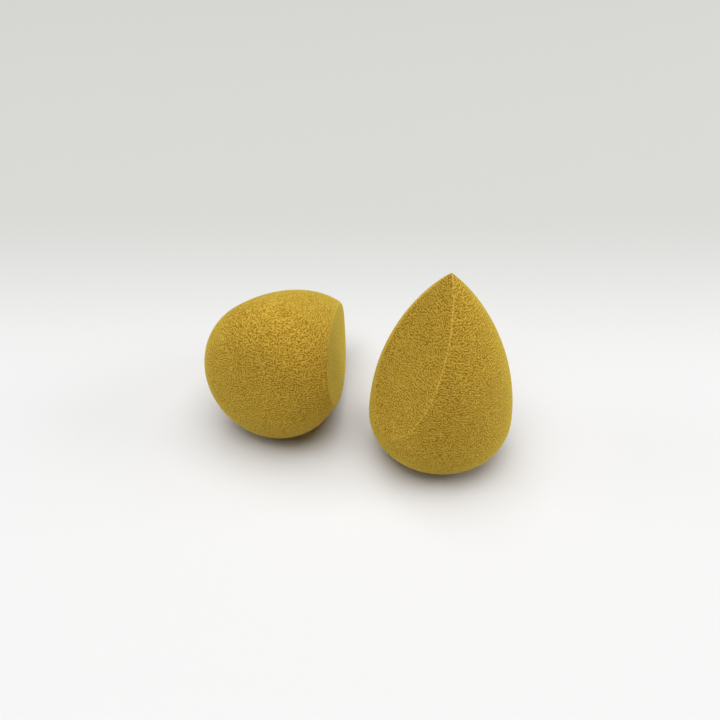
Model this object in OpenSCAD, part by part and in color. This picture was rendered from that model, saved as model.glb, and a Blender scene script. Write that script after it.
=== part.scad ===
// Pair of makeup sponges: teardrops of foam, each with one long slanted cut.
// One sponge stands on its blunt end and its twin lies on its side next to it.
// Units are mm. +Z is up, +X is the viewer's right and +Y runs away from the viewer.
// The origin is on the floor, under the middle of the standing sponge's foot.

/* [Sponge form] */
// Diameter at the widest place
sponge_d = 42; // [38:0.5:46]
// Radius of the blunt end that a sponge stands on
base_r = 36.7; // [32:0.1:40]
// Radius of the round shoulder between the blunt end and the flank
shoulder_r = 13.2; // [12:0.1:15]
// Radius of the long flank that runs up to the point
flank_r = 67.9; // [62:0.1:80]
// How far the shoulder turns before the flank starts, from straight down
shoulder_turn = 91.7; // [90.5:0.1:93]

/* [Slanted cut] */
// Lean of the standing sponge's cut from its own axis
stand_cut_lean = 25; // [20:0.1:28]
// Lean of the lying sponge's cut, which is sliced by itself
lying_cut_lean = 21.9; // [20:0.1:24]
// Radius of the slight bulge along a cut
cut_bulge_r = 308; // [250:1:400]
// Straight-line length over which the bulge is struck
cut_chord = 50; // [44:1:56]

/* [Standing sponge] */
// Turn about its own axis, which points the cut
stand_turn = -141.7; // [-180:0.1:180]
// Lean towards the viewer
stand_lean_front = 0.6; // [-6:0.1:6]
// Lean to the viewer's right
stand_lean_side = 0.1; // [-6:0.1:6]

/* [Lying sponge] */
// Place of its blunt end to the right of the standing sponge's foot
lying_x = -55.9; // [-66:0.1:-54]
// Place of its blunt end behind the standing sponge's foot
lying_y = -2.9; // [-12:0.1:8]
// Way its point looks, counted from the viewer's right
lying_heading = 64.9; // [60:0.1:90]
// How far its point looks up, below zero for down
lying_rise = -9.9; // [-16:0.1:-9.5]
// Roll about its own axis, which turns the cut to the side
lying_roll = -99.6; // [-112:0.1:-88]
// Its size against the standing sponge, as a share
lying_size_share = 1.03; // [0.97:0.01:1.06]

/* [Rest] */
// Depth to which the foam presses flat where a sponge touches the floor
foot_depth = 0.5; // [0.2:0.05:1]

/* [Hidden] */
$fn = 180;
foam_colour = [0.67, 0.54, 0.19];
quarter_turn = 90;
half_turn = 180;
widest_r = sponge_d / 2;

// The blunt end and the shoulder are arcs that meet without a corner.
base_turn = asin((widest_r - shoulder_r) / (base_r - shoulder_r));
shoulder_x = widest_r - shoulder_r;
shoulder_z = base_r - (base_r - shoulder_r) * cos(base_turn);

// The flank is a third arc. Its middle lies across the axis from it.
flank_x = shoulder_x - (flank_r - shoulder_r) * sin(shoulder_turn);
flank_z = shoulder_z + (flank_r - shoulder_r) * cos(shoulder_turn);
tip_z = flank_z + sqrt(flank_r ^ 2 - flank_x ^ 2);

// How far the sides of a slice reach past its arc.
slice_reach_share = 1.5;

// A hair-thin flat takes off each corner where two arcs meet, so that the
// turned surface has no step there.
flat_depth = 0.01;
flat_reach = 2;
base_end = [base_r * sin(base_turn), base_r * (1 - cos(base_turn))];
shoulder_end = [
    shoulder_x + shoulder_r * sin(shoulder_turn),
    shoulder_z - shoulder_r * cos(shoulder_turn)
];

// How far each cut passes behind the point, below zero for in front of it.
stand_cut_setback = 0.1;
lying_cut_setback = -0.1;

// A cut is struck about a middle far behind it. This is how far.
cut_reach = sqrt(cut_bulge_r ^ 2 - (cut_chord / 2) ^ 2);

// The standing sponge rests on its blunt end, whose ball sits over the origin.
stand_up = [
    sin(stand_lean_side),
    -sin(stand_lean_front) * cos(stand_lean_side),
    cos(stand_lean_front) * cos(stand_lean_side)
];
stand_place = [0, 0, base_r - foot_depth] - base_r * stand_up;

// The lying sponge rests on its flank.
lying_drop = flank_r + flank_x * cos(lying_rise) - flank_z * sin(lying_rise);
lying_place = [lying_x, lying_y, lying_size_share * lying_drop - foot_depth];

// One slice of a disc between two turns, both counted from straight down.
module disc_slice(centre, radius, from_turn, to_turn) {
    intersection() {
        translate(centre)
            circle(r = radius);
        polygon(concat([centre], [
            for (turn = [from_turn, (from_turn + to_turn) / 2, to_turn])
                centre + slice_reach_share * radius * [sin(turn), -cos(turn)]
        ]));
    }
}

// Takes the hair-thin flat off the outline where two arcs meet.
module meeting_flat(place, turn) {
    along = flat_reach * [cos(turn), sin(turn)];
    out = [sin(turn), -cos(turn)];
    inner = place - flat_depth * out;
    outer = place + flat_reach * out;
    polygon([inner - along, inner + along, outer + along, outer - along]);
}

// Half outline of the uncut teardrop, from its axis out.
module half_outline() {
    difference() {
        union() {
            disc_slice([0, base_r], base_r, 0, base_turn);
            disc_slice([shoulder_x, shoulder_z], shoulder_r, base_turn, shoulder_turn);
            intersection() {
                disc_slice([flank_x, flank_z], flank_r, shoulder_turn, half_turn);
                square([sponge_d, sponge_d + tip_z]);
            }
            polygon([[0, base_r], [0, shoulder_z / 2], base_end, shoulder_end]);
        }
        meeting_flat(base_end, base_turn);
        meeting_flat(shoulder_end, shoulder_turn);
    }
}

// One sponge: the turned teardrop less what the slanted cut takes off.
module sponge(cut_lean, cut_setback) {
    out = [cos(cut_lean), sin(cut_lean)];
    down = [sin(cut_lean), -cos(cut_lean)];
    start = [0, tip_z] - cut_setback * out;
    centre = start + cut_chord / 2 * down - cut_reach * out;
    intersection() {
        rotate_extrude()
            half_outline();
        translate([centre[0], 0, centre[1]])
            rotate([quarter_turn, 0, 0])
                cylinder(r = cut_bulge_r, h = sponge_d * 2, center = true);
    }
}

// Cuts a sponge flat where its own weight presses it on the floor.
module on_floor() {
    difference() {
        children();
        translate([lying_x - tip_z, lying_y - tip_z, -sponge_d])
            cube([tip_z * 3, tip_z * 3, sponge_d]);
    }
}

// The sponge that stands on its blunt end.
module standing_sponge() {
    color(foam_colour)
        on_floor()
            translate(stand_place)
                rotate([stand_lean_front, 0, 0])
                    rotate([0, stand_lean_side, 0])
                        rotate([0, 0, stand_turn])
                            sponge(stand_cut_lean, stand_cut_setback);
}

// The loose sponge that lies on its flank, with its point behind it.
module lying_sponge() {
    color(foam_colour)
        on_floor()
            translate(lying_place)
                rotate([0, 0, lying_heading])
                    rotate([0, quarter_turn - lying_rise, 0])
                        rotate([0, 0, lying_roll])
                            scale(lying_size_share)
                                sponge(lying_cut_lean, lying_cut_setback);
}

standing_sponge();
lying_sponge();
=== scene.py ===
"""Two mustard foam make-up sponges on a pale table: one on its blunt end, its twin on its side.

Sizes are in millimetres until a mesh is made, and the scene itself is in metres. +X is the viewer's
right, +Y runs away from the viewer and +Z is up. The origin is under the middle of the standing
sponge's foot.
"""

import logging
import math
from dataclasses import dataclass, field
from enum import Enum

import bpy
import numpy as np
from mathutils import Matrix, Vector


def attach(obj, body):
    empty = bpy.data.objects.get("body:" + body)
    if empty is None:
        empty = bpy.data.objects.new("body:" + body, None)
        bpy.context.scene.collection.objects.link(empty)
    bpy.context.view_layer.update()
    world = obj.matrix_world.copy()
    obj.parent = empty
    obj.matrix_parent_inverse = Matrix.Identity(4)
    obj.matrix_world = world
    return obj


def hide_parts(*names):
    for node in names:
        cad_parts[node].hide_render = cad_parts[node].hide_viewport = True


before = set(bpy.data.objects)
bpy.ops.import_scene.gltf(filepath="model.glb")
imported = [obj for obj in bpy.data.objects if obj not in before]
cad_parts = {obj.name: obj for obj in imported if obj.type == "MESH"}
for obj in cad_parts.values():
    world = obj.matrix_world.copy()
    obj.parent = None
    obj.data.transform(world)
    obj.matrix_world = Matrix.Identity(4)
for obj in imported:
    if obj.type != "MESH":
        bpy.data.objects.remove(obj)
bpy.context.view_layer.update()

LOG = logging.getLogger("sponges")
MM = 0.001
QUARTER_TURN = 90.0

# What the foam's mesh carries for its material: each point's place in the pattern of cells, how far
# it is from the cut's edge in mm, and how sharply that edge turns there.
REST_PLACE = "rest_place"
FROM_EDGE = "from_edge"
EDGE_ANGLE = "edge_angle"

Range = tuple[float, float]
Colour = tuple[float, float, float]
Socket = bpy.types.NodeSocket


class Rest(Enum):
    """How a sponge lies on the table."""

    ON_BLUNT_END = "on_blunt_end"
    ON_FLANK = "on_flank"


class Ramp(Enum):
    """How a value runs from one limit to the other."""

    STRAIGHT = "LINEAR"
    SOFT = "SMOOTHSTEP"


def turn(axis: str, degrees: float) -> np.ndarray:
    """Rotation matrix about one axis of the frame, by the right-hand rule."""
    return np.array(Matrix.Rotation(math.radians(degrees), 3, axis))


def put(name: str, data: bpy.types.ID) -> bpy.types.Object:
    """Makes an object and puts it in the scene.

    Args:
        name: the object's name.
        data: the mesh, lamp or lens that it shows.

    Returns:
        The object, at the origin.
    """
    made = bpy.data.objects.new(name, data)
    bpy.context.scene.collection.objects.link(made)
    return made


@dataclass(frozen=True)
class Wiring:
    """Lays nodes and links in one node tree."""

    tree: bpy.types.NodeTree

    def feed(self, socket: Socket, value: Socket | Colour | float) -> None:
        """Gives an input its value.

        Args:
            socket: the input.
            value: a plain number, a plain colour or what another node puts out.
        """
        if isinstance(value, tuple):
            socket.default_value = (*value, 1.0)
        elif isinstance(value, (int, float)):
            socket.default_value = value
        else:
            self.tree.links.new(value, socket)

    def carried(self, name: str, output: str) -> Socket:
        """Reads a value that the mesh carries.

        Args:
            name: the value's name on the mesh.
            output: which of the node's outputs is wanted.

        Returns:
            The value at the place that is being painted.
        """
        node = self.tree.nodes.new("ShaderNodeAttribute")
        node.attribute_type = "GEOMETRY"
        node.attribute_name = name
        return node.outputs[output]

    def maths(self, operation: str, *values: Socket | float) -> Socket:
        """Works out one sum.

        Args:
            operation: what is done, by Blender's name for it.
            values: what it is done to, in order.

        Returns:
            The sum's result.
        """
        node = self.tree.nodes.new("ShaderNodeMath")
        node.operation = operation
        for socket, value in zip(node.inputs, values):
            self.feed(socket, value)
        return node.outputs[0]

    def spread(
        self, value: Socket, source: Range, target: Range = (0.0, 1.0), ramp: Ramp = Ramp.STRAIGHT
    ) -> Socket:
        """Carries a value from one range to another.

        Args:
            value: the number to carry.
            source: the range that it comes from.
            target: the range that it goes to.
            ramp: how it runs between the limits.

        Returns:
            The carried number.
        """
        node = self.tree.nodes.new("ShaderNodeMapRange")
        node.interpolation_type = ramp.value
        self.feed(node.inputs["Value"], value)
        for name, limit in zip(("From Min", "From Max", "To Min", "To Max"), (*source, *target)):
            self.feed(node.inputs[name], limit)
        return node.outputs["Result"]

    def blend(self, first: Socket | Colour, second: Socket | Colour, share: Socket) -> Socket:
        """Runs one colour into another.

        Args:
            first: the colour at no share.
            second: the colour at a full share.
            share: how much of the second there is, from 0 to 1.

        Returns:
            The mixed colour.
        """
        node = self.tree.nodes.new("ShaderNodeMix")
        node.data_type = "RGBA"
        for name, value in (("Factor", share), ("A", first), ("B", second)):
            self.feed(node.inputs[name], value)
        return node.outputs["Result"]

    def scaled(self, vector: Socket, scale: Socket) -> Socket:
        """Multiplies a vector or a colour.

        Args:
            vector: the vector or colour.
            scale: the number that it is multiplied by.

        Returns:
            The longer or shorter vector, or the lighter or darker colour.
        """
        node = self.tree.nodes.new("ShaderNodeVectorMath")
        node.operation = "SCALE"
        self.feed(node.inputs[0], vector)
        self.feed(node.inputs["Scale"], scale)
        return node.outputs["Vector"]

    def noise(self, where: Socket, size: float, detail: float) -> Socket:
        """Lays soft noise.

        Args:
            where: place in the noise, in metres.
            size: rough size of its patches, in mm.
            detail: how many finer layers lie on top of them.

        Returns:
            The noise, from 0 to 1.
        """
        node = self.tree.nodes.new("ShaderNodeTexNoise")
        node.inputs["Scale"].default_value = 1 / (size * MM)
        node.inputs["Detail"].default_value = detail
        self.feed(node.inputs["Vector"], where)
        return node.outputs["Fac"]


@dataclass(frozen=True)
class TeardropOutline:
    """A sponge's turned outline: a broad base arc, a round shoulder and a long flank."""

    widest_r: float = 21.0
    base_r: float = 36.7
    shoulder_r: float = 13.2
    flank_r: float = 67.9
    shoulder_turn: float = 91.7
    tip_round: float = 0.1

    @property
    def base_turn(self) -> float:
        """Angle from straight down where the base arc hands over to the shoulder, in radians."""
        return math.asin((self.widest_r - self.shoulder_r) / (self.base_r - self.shoulder_r))

    @property
    def shoulder_middle(self) -> tuple[float, float]:
        """Middle of the shoulder's arc, as distance from the axis and height."""
        return (
            self.widest_r - self.shoulder_r,
            self.base_r - (self.base_r - self.shoulder_r) * math.cos(self.base_turn),
        )

    @property
    def flank_middle(self) -> tuple[float, float]:
        """Middle of the flank's arc, which lies across the axis from it."""
        turned = math.radians(self.shoulder_turn)
        reach = self.flank_r - self.shoulder_r
        across, height = self.shoulder_middle
        return across - reach * math.sin(turned), height + reach * math.cos(turned)

    @property
    def tip_height(self) -> float:
        """Height of the uncut point above the blunt end."""
        across, height = self.flank_middle
        return height + math.sqrt(self.flank_r**2 - across**2)

    def depth(self, points: np.ndarray) -> np.ndarray:
        """Signed distance of points from the turned surface.

        Args:
            points: places in the sponge's own frame, one row each, in mm.

        Returns:
            Distance in mm, below zero inside the foam.
        """
        away = np.sqrt(points[:, 0] ** 2 + points[:, 1] ** 2 + self.tip_round**2)
        up = points[:, 2]
        shoulder_x, shoulder_z = self.shoulder_middle
        flank_x, flank_z = self.flank_middle
        base = np.hypot(away, up - self.base_r) - self.base_r
        shoulder = np.hypot(away - shoulder_x, up - shoulder_z) - self.shoulder_r
        flank = np.hypot(away - flank_x, up - flank_z) - self.flank_r
        on_base = np.arctan2(away, self.base_r - up) < self.base_turn
        on_flank = np.arctan2(away - flank_x, flank_z - up) > math.radians(self.shoulder_turn)
        return np.where(on_base, base, np.where(on_flank, flank, shoulder))


@dataclass(frozen=True)
class SlantedCut:
    """The long slanted cut: part of a very large cylinder, so that it bulges slightly."""

    lean: float
    setback: float
    bulge_r: float = 308.0
    chord: float = 50.0
    edge_round: float = 0.3

    def depth(self, points: np.ndarray, tip_height: float) -> np.ndarray:
        """Signed distance of points from the cut.

        Args:
            points: places in the sponge's own frame, one row each, in mm.
            tip_height: height of the uncut point, which the cut is struck from.

        Returns:
            Distance in mm, below zero on the side that stays.
        """
        leaned = math.radians(self.lean)
        out = np.array([math.cos(leaned), math.sin(leaned)])
        down = np.array([math.sin(leaned), -math.cos(leaned)])
        half = self.chord / 2
        middle = np.array([0.0, tip_height]) - self.setback * out + half * down
        middle = middle - math.sqrt(self.bulge_r**2 - half**2) * out
        return np.hypot(points[:, 0] - middle[0], points[:, 2] - middle[1]) - self.bulge_r


@dataclass(frozen=True)
class Placement:
    """Where a sponge is and how it is turned, with its foot pressed flat on the table."""

    rest: Rest
    turns: tuple[tuple[str, float], ...]
    place: tuple[float, float] = (0.0, 0.0)
    size_share: float = 1.0
    foot_depth: float = 0.5
    foot_round: float = 0.3

    @classmethod
    def standing(cls, lean_front: float, lean_side: float, own_turn: float) -> "Placement":
        """A sponge on its blunt end over the origin.

        Args:
            lean_front: lean to the viewer, in degrees.
            lean_side: lean to the viewer's right, in degrees.
            own_turn: turn about its own axis, which points the cut, in degrees.

        Returns:
            The placement.
        """
        return cls(Rest.ON_BLUNT_END, (("X", lean_front), ("Y", lean_side), ("Z", own_turn)))

    @classmethod
    def lying(
        cls, heading: float, rise: float, roll: float, place: tuple[float, float], size_share: float
    ) -> "Placement":
        """A sponge on its flank.

        Args:
            heading: way that its point looks, counted from the viewer's right, in degrees.
            rise: how far its point looks up, below zero for down, in degrees.
            roll: roll about its own axis, which turns the cut to the side, in degrees.
            place: where the pole of its blunt end is over the table, in mm.
            size_share: its size against the standing sponge.

        Returns:
            The placement.
        """
        turns = (("Z", heading), ("Y", QUARTER_TURN - rise), ("Z", roll))
        return cls(Rest.ON_FLANK, turns, place, size_share)

    @property
    def turned(self) -> np.ndarray:
        """All turns as one rotation matrix."""
        whole = np.eye(3)
        for axis, degrees in self.turns:
            whole = whole @ turn(axis, degrees)
        return whole

    def offset(self, outline: TeardropOutline) -> np.ndarray:
        """Place of the blunt end's pole that puts the lowest foam foot_depth under the table.

        Args:
            outline: the sponge's outline, which says where its lowest place is.

        Returns:
            The pole's place in the frame, in mm.
        """
        up = self.turned[:, 2]
        if self.rest is Rest.ON_BLUNT_END:
            return np.array([*self.place, outline.base_r - self.foot_depth]) - outline.base_r * up
        across, height = outline.flank_middle
        rise = math.asin(up[2])
        drop = outline.flank_r + across * math.cos(rise) - height * math.sin(rise)
        return np.array([*self.place, self.size_share * drop - self.foot_depth])

    def to_frame(self, points: np.ndarray, outline: TeardropOutline) -> np.ndarray:
        """Points of the sponge's own frame, moved to the shared frame, in mm."""
        return self.size_share * points @ self.turned.T + self.offset(outline)


@dataclass(frozen=True)
class FoamFinish:
    """Dry mustard make-up foam: open cells, matt, with paler walls and darker pits, whose dark is
    painted shade.

    Along the cut's edge the foam is painted paler, a painted highlight that is strongest where the
    edge turns sharply, and only a share of the pits' painted shade is kept there. The tone drifts
    in soft patches over the foam, and the cut is a little duller.
    """

    wall: Colour = (0.545, 0.350, 0.044)
    # Painted shade: the pits are painted this darker colour, for the shade that falls in them.
    pit: Colour = (0.240, 0.122, 0.0010)
    # Painted highlight: the cut's edge is painted this paler colour.
    rim_highlight: Colour = (0.70, 0.462, 0.073)
    rim_width: float = 0.28
    # Share of the pits' painted shade that is kept along the cut's edge.
    rim_pit_shade: float = 0.3
    cut_tone: float = 0.96
    drift: float = 0.03
    drift_size: float = 9.0
    drift_detail: float = 3.0
    drift_limits: Range = (0.3, 0.7)
    cell_size: float = 0.66
    cells_a_unit: float = 1.5
    cell_low: float = 0.31
    cell_high: float = 0.67
    cell_depth: float = 0.07
    waviness: float = 0.10
    roughness: float = 0.95
    specular: float = 0.18
    sheen: float = 0.50
    sheen_roughness: float = 0.5
    sheen_tint: Colour = (1.0, 0.84, 0.12)
    glow: float = 0.12
    glow_reach: float = 2.5
    glow_shares: Colour = (1.0, 0.55, 0.12)

    def sunk(self, wiring: Wiring, where: Socket, scale: Socket | float) -> Socket:
        """Lays the web of cells, which the material and the foam_cells tree share.

        Args:
            wiring: the tree that the nodes go to.
            where: place in the pattern of cells, in metres.
            scale: units of the pattern in a metre.

        Returns:
            How deep a place is sunk, from 0 on a wall to 1 in a pit.
        """
        web = wiring.tree.nodes.new("ShaderNodeTexGabor")
        web.gabor_type = "3D"
        for name, value in (
            ("Frequency", self.cells_a_unit),
            ("Anisotropy", 0.0),
            ("Vector", where),
            ("Scale", scale),
        ):
            wiring.feed(web.inputs[name], value)
        return wiring.spread(web.outputs["Value"], (self.cell_high, self.cell_low), ramp=Ramp.SOFT)

    def material(self, name: str) -> bpy.types.Material:
        """Builds the foam's material.

        Args:
            name: the material's name.

        Returns:
            A node material whose pits lie where the foam_cells tree sinks them.
        """
        made = bpy.data.materials.new(name)
        made.use_nodes = True
        wiring = Wiring(made.node_tree)
        shader = made.node_tree.nodes["Principled BSDF"]
        for socket, value in (
            ("Roughness", self.roughness),
            ("Specular IOR Level", self.specular),
            ("Sheen Weight", self.sheen),
            ("Sheen Roughness", self.sheen_roughness),
            ("Sheen Tint", (*self.sheen_tint, 1.0)),
            ("Subsurface Weight", self.glow),
            ("Subsurface Radius", self.glow_shares),
            ("Subsurface Scale", self.glow_reach * MM),
        ):
            shader.inputs[socket].default_value = value

        place = wiring.carried(REST_PLACE, "Vector")
        from_edge = wiring.carried(FROM_EDGE, "Fac")
        # Painted highlight: the foam is painted paler along the cut's edge, most where the edge
        # turns sharply, and there only part of the pits' painted shade is kept.
        widths = wiring.maths("DIVIDE", from_edge, self.rim_width)
        squared = wiring.maths("MULTIPLY", widths, widths)
        near_edge = wiring.maths("EXPONENT", wiring.maths("MULTIPLY", squared, -1.0))
        rim_highlight_share = wiring.maths("MULTIPLY", near_edge, wiring.carried(EDGE_ANGLE, "Fac"))
        calm = wiring.spread(rim_highlight_share, (0.0, 1.0), (1.0, self.rim_pit_shade))

        sunk = self.sunk(wiring, place, 1 / (self.cells_a_unit * self.cell_size * MM))
        paint = wiring.blend(self.wall, self.rim_highlight, rim_highlight_share)
        # Painted shade: the pits are painted darker where the cells are sunk, less so along the
        # cut's edge.
        paint = wiring.blend(paint, self.pit, wiring.maths("MULTIPLY", sunk, calm))

        drift = wiring.noise(place, self.drift_size, self.drift_detail)
        uneven = wiring.spread(drift, self.drift_limits, (1 - self.drift, 1 + self.drift))
        on_cut = wiring.spread(from_edge, (self.rim_width, -self.rim_width), ramp=Ramp.SOFT)
        duller = wiring.spread(on_cut, (0.0, 1.0), (1.0, self.cut_tone))
        toned = wiring.scaled(paint, wiring.maths("MULTIPLY", uneven, duller))
        wiring.feed(shader.inputs["Base Color"], toned)
        return made


@dataclass
class FoamCells:
    """The Geometry Nodes tree that sinks the foam's cells into a smooth body."""

    finish: FoamFinish
    name: str = "foam_cells"
    seed_shift: float = 37.0
    roll_size: float = 14.0
    roll_detail: float = 1.0
    tree: bpy.types.NodeTree = field(init=False)

    def __post_init__(self) -> None:
        """Builds the tree once for both sponges."""
        self.tree = bpy.data.node_groups.new(self.name, "GeometryNodeTree")
        self._sockets()
        self._nodes()

    def _sockets(self) -> None:
        """Names the tree's inputs and its output."""
        face = self.tree.interface
        face.new_socket(name="Body", in_out="INPUT", socket_type="NodeSocketGeometry")
        for name, size in (
            ("Cell Size", self.finish.cell_size),
            ("Cell Depth", self.finish.cell_depth),
            ("Waviness", self.finish.waviness),
        ):
            socket = face.new_socket(name=name, in_out="INPUT", socket_type="NodeSocketFloat")
            socket.default_value = size * MM
        face.new_socket(name="Seed", in_out="INPUT", socket_type="NodeSocketInt")
        face.new_socket(name="Foam", in_out="INPUT", socket_type="NodeSocketMaterial")
        face.new_socket(name="Body", in_out="OUTPUT", socket_type="NodeSocketGeometry")

    def _nodes(self) -> None:
        """Lays the tree's nodes and links."""
        wiring = Wiring(self.tree)
        nodes, links = self.tree.nodes, self.tree.links
        given = nodes.new("NodeGroupInput").outputs
        result = nodes.new("NodeGroupOutput")

        # Each seed moves the pattern, and the material finds it again by the place kept here.
        place = nodes.new("GeometryNodeInputPosition").outputs[0]
        moved = nodes.new("ShaderNodeVectorMath")
        moved.operation = "ADD"
        links.new(place, moved.inputs[0])
        links.new(wiring.maths("MULTIPLY", given["Seed"], self.seed_shift * MM), moved.inputs[1])
        where = moved.outputs[0]
        kept = nodes.new("GeometryNodeStoreNamedAttribute")
        kept.data_type = "FLOAT_VECTOR"
        kept.domain = "POINT"
        kept.inputs["Name"].default_value = REST_PLACE
        links.new(given["Body"], kept.inputs["Geometry"])
        links.new(where, kept.inputs["Value"])

        unit = wiring.maths("MULTIPLY", given["Cell Size"], self.finish.cells_a_unit)
        sunk = self.finish.sunk(wiring, where, wiring.maths("DIVIDE", 1.0, unit))
        cells = wiring.maths("MULTIPLY", sunk, given["Cell Depth"])
        roll = wiring.noise(where, self.roll_size, self.roll_detail)
        wave = wiring.maths("MULTIPLY", roll, given["Waviness"])
        inward = wiring.maths("MULTIPLY", wiring.maths("ADD", cells, wave), -1.0)

        normal = nodes.new("GeometryNodeInputNormal").outputs[0]
        pushed = nodes.new("GeometryNodeSetPosition")
        links.new(kept.outputs[0], pushed.inputs["Geometry"])
        links.new(wiring.scaled(normal, inward), pushed.inputs["Offset"])

        smooth = nodes.new("GeometryNodeSetShadeSmooth")
        whole = nodes.new("GeometryNodeRealizeInstances")
        dressed = nodes.new("GeometryNodeSetMaterial")
        links.new(pushed.outputs[0], smooth.inputs["Geometry"])
        links.new(smooth.outputs[0], whole.inputs[0])
        links.new(whole.outputs[0], dressed.inputs["Geometry"])
        links.new(given["Foam"], dressed.inputs["Material"])
        links.new(dressed.outputs[0], result.inputs[0])

    def sink(self, body: bpy.types.Object, foam: bpy.types.Material, seed: int) -> None:
        """Runs the tree on a body and keeps the result as a plain mesh.

        Args:
            body: the smooth sponge.
            foam: the material that the tree sets.
            seed: moves the pattern, so that the two sponges differ.
        """
        modifier = body.modifiers.new(self.name, "NODES")
        modifier.node_group = self.tree
        chosen = {"Seed": seed, "Foam": foam}
        for item in self.tree.interface.items_tree:
            if item.name in chosen:
                modifier[item.identifier] = chosen[item.name]
        graph = bpy.context.evaluated_depsgraph_get()
        done = bpy.data.meshes.new_from_object(body.evaluated_get(graph), depsgraph=graph)
        body.modifiers.clear()
        old = body.data
        body.data = done
        done.name = body.name
        bpy.data.meshes.remove(old)


def ball_grid(steps: int) -> tuple[np.ndarray, np.ndarray]:
    """A closed ball of even squares, without poles.

    Args:
        steps: squares along each side of the cube that the ball is blown up from.

    Returns:
        Unit directions, one row each, and the squares as rows of four point numbers, wound
        outwards.
    """
    across, along = np.meshgrid(np.arange(steps + 1), np.arange(steps + 1), indexing="ij")
    corners, squares = [], []
    for axis in range(3):
        for side in (0, steps):
            spot = np.empty((steps + 1, steps + 1, 3), int)
            spot[..., axis] = side
            spot[..., (axis + 1) % 3] = across
            spot[..., (axis + 2) % 3] = along
            number = np.arange(across.size).reshape(across.shape) + len(corners) * across.size
            ring = [number[:-1, :-1], number[1:, :-1], number[1:, 1:], number[:-1, 1:]]
            squares.append(np.stack(ring if side else ring[::-1], -1).reshape(-1, 4))
            corners.append(spot.reshape(-1, 3))
    unique, merged = np.unique(np.concatenate(corners), axis=0, return_inverse=True)
    even = np.tan((2 * np.arange(steps + 1) / steps - 1) * math.pi / 4)
    ways = even[unique]
    ways /= np.linalg.norm(ways, axis=1, keepdims=True)
    return ways, merged.reshape(-1)[np.concatenate(squares)]


@dataclass
class Sponge:
    """One make-up sponge: a solid piece of foam.

    Its skin is found along straight lines from its heart, between near_reach and far_reach. The
    stretch draws these lines towards the sponge's two ends. The cut's edge is felt with
    probe_step: a slope of steepest or more is a right angle, and distances from an edge that is
    blunter than bluntest are taken as from one that is as blunt as that.
    """

    name: str
    node: str
    body: str
    placement: Placement
    cut: SlantedCut
    seed: int
    outline: TeardropOutline = field(default_factory=TeardropOutline)
    heart: tuple[float, float, float] = (-0.8, 0.0, 24.0)
    near_reach: float = 4.0
    far_reach: float = 60.0
    halvings: int = 26
    steps: int = 240
    quick_share: int = 3
    stretch: float = 1.5
    probe_step: float = 0.05
    steepest: float = 1.4
    bluntest: float = 0.15
    slot: str = "foam"

    def _depth(self, points: np.ndarray) -> np.ndarray:
        """Signed distance from the smooth surface, with the edges of the cut and the foot rounded.

        Args:
            points: places in the sponge's own frame, one row each, in mm.

        Returns:
            Distance in mm, below zero inside the foam.
        """

        def meet(first: np.ndarray, second: np.ndarray, radius: float) -> np.ndarray:
            """Where both solids are, with the edge between them rounded."""
            curve = np.hypot(np.maximum(first + radius, 0), np.maximum(second + radius, 0))
            return np.minimum(np.maximum(first, second), -radius) + curve

        shape = meet(
            self.outline.depth(points),
            self.cut.depth(points, self.outline.tip_height),
            self.cut.edge_round,
        )
        table = -self.placement.to_frame(points, self.outline)[:, 2] / self.placement.size_share
        return meet(shape, table, self.placement.foot_round)

    def _edge(self, points: np.ndarray) -> tuple[np.ndarray, np.ndarray]:
        """Finds the cut's edge.

        Args:
            points: places on the sponge's skin, one row each, in mm.

        Returns:
            How far each place is from the edge in mm, below zero on the cut, and how sharply the
            edge turns there, from 0 for not at all to 1 for a right angle.
        """

        def apart(places: np.ndarray) -> np.ndarray:
            """How much further out the turned surface is than the cut."""
            tip_height = self.outline.tip_height
            return self.outline.depth(places) - self.cut.depth(places, tip_height)

        slopes = [
            (apart(points + way) - apart(points - way)) / (2 * self.probe_step)
            for way in self.probe_step * np.eye(3)
        ]
        steep = np.minimum(np.linalg.norm(np.stack(slopes, axis=1), axis=1), self.steepest)
        sharp = np.sin(2 * np.arcsin(steep / 2))
        return apart(points) / np.maximum(sharp, self.bluntest), sharp

    def _skin(self, ways: np.ndarray) -> np.ndarray:
        """Follows straight lines from the heart to where they come out of the foam.

        Args:
            ways: unit directions, one row each.

        Returns:
            Places on the smooth surface in the sponge's own frame, one row each, in mm.
        """
        heart = np.array(self.heart)
        near, far = np.full(len(ways), self.near_reach), np.full(len(ways), self.far_reach)
        for _ in range(self.halvings):
            middle = (near + far) / 2
            inside = self._depth(heart + ways * middle[:, None]) < 0
            near, far = np.where(inside, middle, near), np.where(inside, far, middle)
        return heart + ways * ((near + far) / 2)[:, None]

    def smooth_body(self) -> bpy.types.Object:
        """Builds the sponge without its cells.

        Returns:
            The body, at its place in the frame.
        """
        ways, squares = ball_grid(self.steps)
        ways = ways * np.array([1.0, 1.0, self.stretch])
        ways /= np.linalg.norm(ways, axis=1, keepdims=True)
        skin = self._skin(ways)
        corners = self.placement.to_frame(skin, self.outline) * MM
        mesh = bpy.data.meshes.new(self.name)
        mesh.from_pydata(corners.tolist(), [], squares.tolist())
        mesh.polygons.foreach_set("use_smooth", np.ones(len(mesh.polygons), bool))
        mesh.update()
        for name, values in zip((FROM_EDGE, EDGE_ANGLE), self._edge(skin)):
            mesh.attributes.new(name, "FLOAT", "POINT").data.foreach_set("value", values)
        return put(self.name, mesh)

    def build(self, cells: FoamCells, foam: bpy.types.Material) -> bpy.types.Object:
        """Builds the sponge and joins it to the frame.

        Args:
            cells: the tree that sinks the foam's cells.
            foam: the foam's material.

        Returns:
            The finished piece.
        """
        piece = self.smooth_body()
        cells.sink(piece, foam, self.seed)
        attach(piece, self.body)
        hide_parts(self.node)
        faces = len(piece.data.polygons)
        LOG.info("%s: %d faces, %s", self.name, faces, self.placement.rest.value)
        return piece


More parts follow.
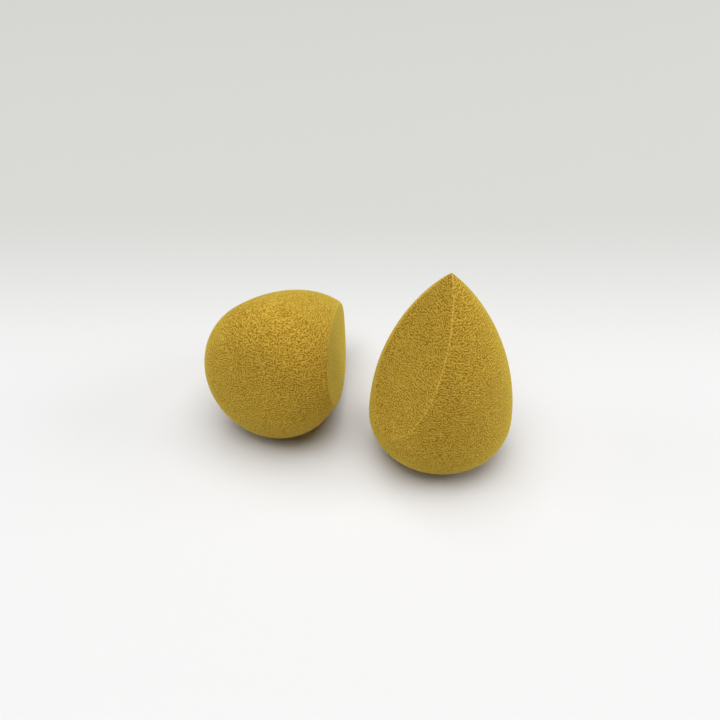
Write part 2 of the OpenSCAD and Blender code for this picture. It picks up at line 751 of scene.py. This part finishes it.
@dataclass(frozen=True)
class TableFinish:
    """The pale table top, painted darker to a soft grey behind the sponges: painted shade for the
    light that falls off there.
    """

    # Painted shade: the colour runs from near to far, standing in for the light that falls off with
    # the distance.
    near: float = 0.69
    far: float = 0.53
    far_tint: Colour = (1.0, 1.003, 0.97)
    fall_start: float = 20.0
    fall_end: float = 160.0
    roughness: float = 0.9
    specular: float = 0.1

    def material(self, name: str) -> bpy.types.Material:
        """Builds the table top's material.

        Args:
            name: the material's name.

        Returns:
            A matt white, painted light grey with the distance as painted shade.
        """
        made = bpy.data.materials.new(name)
        made.use_nodes = True
        nodes = made.node_tree.nodes
        wiring = Wiring(made.node_tree)
        shader = nodes["Principled BSDF"]
        shader.inputs["Roughness"].default_value = self.roughness
        shader.inputs["Specular IOR Level"].default_value = self.specular
        split = nodes.new("ShaderNodeSeparateXYZ")
        wiring.feed(split.inputs[0], nodes.new("ShaderNodeTexCoord").outputs["Object"])
        limits = (self.fall_start * MM, self.fall_end * MM)
        # Painted shade: the colour darkens away from the viewer, standing in for the light falling
        # off.
        painted_falloff = wiring.spread(split.outputs["Y"], limits, ramp=Ramp.SOFT)
        far = tuple(self.far * tint for tint in self.far_tint)
        wiring.feed(shader.inputs["Base Color"], wiring.blend((self.near,) * 3, far, painted_falloff))
        return made


@dataclass(frozen=True)
class SoftLamp:
    """One square soft box, turned to the sponges."""

    name: str
    place: tuple[float, float, float]
    power: float
    side: float = 900.0

    def hang(self) -> bpy.types.Object:
        """Hangs the lamp in the studio.

        Returns:
            The lamp, turned to the origin.
        """
        lamp = bpy.data.lights.new(self.name, "AREA")
        lamp.shape = "SQUARE"
        lamp.size = self.side * MM
        lamp.energy = self.power
        hung = put(self.name, lamp)
        hung.location = Vector(self.place) * MM
        hung.rotation_euler = (-hung.location).to_track_quat("-Z", "Y").to_euler()
        return hung


@dataclass
class Studio:
    """The table top, the light and the camera."""

    table_half: float = 3000.0
    camera_place: tuple[float, float, float] = (-23.61, -181.87, 169.52)
    camera_pitch: float = 38.452
    sensor: float = 36.0
    nearest_seen: float = 10.0
    focal_px: float = 810.85
    picture_px: float = 720.0
    drop_px: float = 21.84
    lamps: tuple[SoftLamp, ...] = (
        SoftLamp("overhead_lamp", (-20.0, 10.0, 8020.0), 905.0, side=9600.0),
        SoftLamp("right_lamp", (1790.0, 10.0, 865.0), 11.5),
        SoftLamp("left_lamp", (-1830.0, 10.0, 865.0), 4.5),
        SoftLamp("front_lamp", (-600.0, -980.0, 1660.0), 5.8),
    )
    sky: float = 0.10
    sky_tint: Colour = (1.0, 1.0, 1.0)
    backdrop: float = 0.71
    backdrop_tint: Colour = (1.0, 1.0, 0.97)

    def table(self) -> bpy.types.Object:
        """Lays the table top.

        Returns:
            The table top.
        """
        half = self.table_half * MM
        mesh = bpy.data.meshes.new("table_top")
        corners = [(-half, -half, 0), (half, -half, 0), (half, half, 0), (-half, half, 0)]
        mesh.from_pydata(corners, [], [(0, 1, 2, 3)])
        mesh.materials.append(TableFinish().material("pale_table"))
        top = put("table_top", mesh)
        return top

    def lights(self) -> None:
        """Hangs the soft lamps round the table and sets the even light of a white room."""
        for lamp in self.lamps:
            lamp.hang()

        world = bpy.data.worlds.new("white_room")
        world.use_nodes = True
        nodes = world.node_tree.nodes
        wiring = Wiring(world.node_tree)
        lit = nodes["Background"]
        seen = nodes.new("ShaderNodeBackground")
        room = tuple(self.backdrop * tint for tint in self.backdrop_tint)
        for light, colour, strength in ((lit, self.sky_tint, self.sky), (seen, room, 1.0)):
            wiring.feed(light.inputs["Color"], colour)
            wiring.feed(light.inputs["Strength"], strength)
        path = nodes.new("ShaderNodeLightPath")
        pick = nodes.new("ShaderNodeMixShader")
        wiring.feed(pick.inputs[0], path.outputs["Is Camera Ray"])
        wiring.feed(pick.inputs[1], lit.outputs[0])
        wiring.feed(pick.inputs[2], seen.outputs[0])
        wiring.feed(nodes["World Output"].inputs["Surface"], pick.outputs[0])
        bpy.context.scene.world = world

    def camera(self) -> None:
        """Sets the camera at the viewer's place."""
        lens = bpy.data.cameras.new("viewer")
        lens.sensor_width = self.sensor
        lens.lens = self.focal_px / self.picture_px * lens.sensor_width
        lens.shift_y = self.drop_px / self.picture_px
        lens.clip_start = self.nearest_seen * MM
        eye = put("viewer", lens)
        eye.location = Vector(self.camera_place) * MM
        eye.rotation_euler = (math.radians(QUARTER_TURN - self.camera_pitch), 0.0, 0.0)
        bpy.context.scene.camera = eye


def main() -> None:
    """Builds the studio and both sponges."""
    logging.basicConfig(level=logging.INFO, format="%(name)s: %(message)s")
    bpy.context.scene.view_settings.view_transform = "Standard"
    studio = Studio()
    studio.camera()
    studio.table()
    studio.lights()

    finish = FoamFinish()
    foam = finish.material("mustard_foam")
    cells = FoamCells(finish)
    standing = Placement.standing(lean_front=0.6, lean_side=0.1, own_turn=-141.7)
    lying = Placement.lying(
        heading=64.9, rise=-9.9, roll=-99.6, place=(-55.9, -2.9), size_share=1.03
    )
    stand_cut = SlantedCut(lean=25.0, setback=0.1)
    lying_cut = SlantedCut(lean=21.9, setback=-0.1)
    for sponge in (
        Sponge("standing_sponge_foam", "standing_sponge", "standing", standing, stand_cut, seed=3),
        Sponge("lying_sponge_foam", "lying_sponge", "lying", lying, lying_cut, seed=8),
    ):
        sponge.build(cells, foam)


if __name__ == "__main__":
    main()
